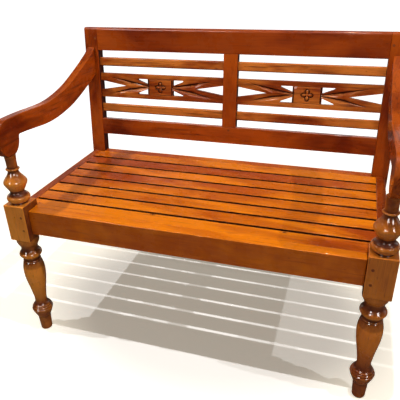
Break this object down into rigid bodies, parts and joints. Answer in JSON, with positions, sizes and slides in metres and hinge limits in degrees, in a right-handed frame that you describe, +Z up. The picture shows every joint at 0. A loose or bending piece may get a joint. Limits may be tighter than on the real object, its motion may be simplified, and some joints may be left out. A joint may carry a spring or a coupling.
{
  "type": "two-seat wooden bench",
  "caption": "Two-seat hardwood bench with turned front legs, scrolled arms, slatted seat and an open raked back with pierced carved splats.",
  "frame": {"origin": "on the floor at the middle of the bench's outline seen from above", "axes": "+X along the bench, to the right of someone who looks at its front, +Y to the back, +Z up"},
  "size_m": [1.08, 0.6124, 0.8943],
  "materials": {
    "seat_wood": "glossy orange-brown lacquer",
    "frame_wood": "glossy red-brown lacquer",
    "turned_wood": "glossy golden-brown lacquer with dark stain in the grooves",
    "peg_wood": "lacquered end grain"
  },
  "bodies": {
    "root": {"post_peg_left": "peg_wood", "post_peg_right": "peg_wood", "crest_rail": "frame_wood", "crest_peg": "peg_wood", "lower_back_rail": "frame_wood", "lower_rail_peg": "peg_wood", "centre_stile": "frame_wood", "lower_back_slat_left": "frame_wood", "upper_back_slat_left": "frame_wood", "carved_splat_left": "frame_wood", "lower_back_slat_right": "frame_wood", "upper_back_slat_right": "frame_wood", "carved_splat_right": "frame_wood", "front_leg_left": "turned_wood", "leg_peg_left_1": "peg_wood", "leg_peg_left_2": "peg_wood", "front_leg_right": "turned_wood", "leg_peg_right_1": "peg_wood", "leg_peg_right_2": "peg_wood", "back_post_left": "frame_wood", "back_post_right": "frame_wood", "arm_left": "frame_wood", "arm_right": "frame_wood", "front_seat_rail": "frame_wood", "back_seat_rail": "frame_wood", "side_seat_rail_left": "frame_wood", "slat_bearer_left": "frame_wood", "side_seat_rail_right": "frame_wood", "slat_bearer_right": "frame_wood", "centre_bearer": "frame_wood", "seat_slat_1": "seat_wood", "seat_slat_2": "seat_wood", "seat_slat_3": "seat_wood", "seat_slat_4": "seat_wood", "seat_slat_5": "seat_wood", "seat_slat_6": "seat_wood", "seat_slat_7": "seat_wood", "seat_slat_8": "seat_wood"}
  },
  "joints": []
}
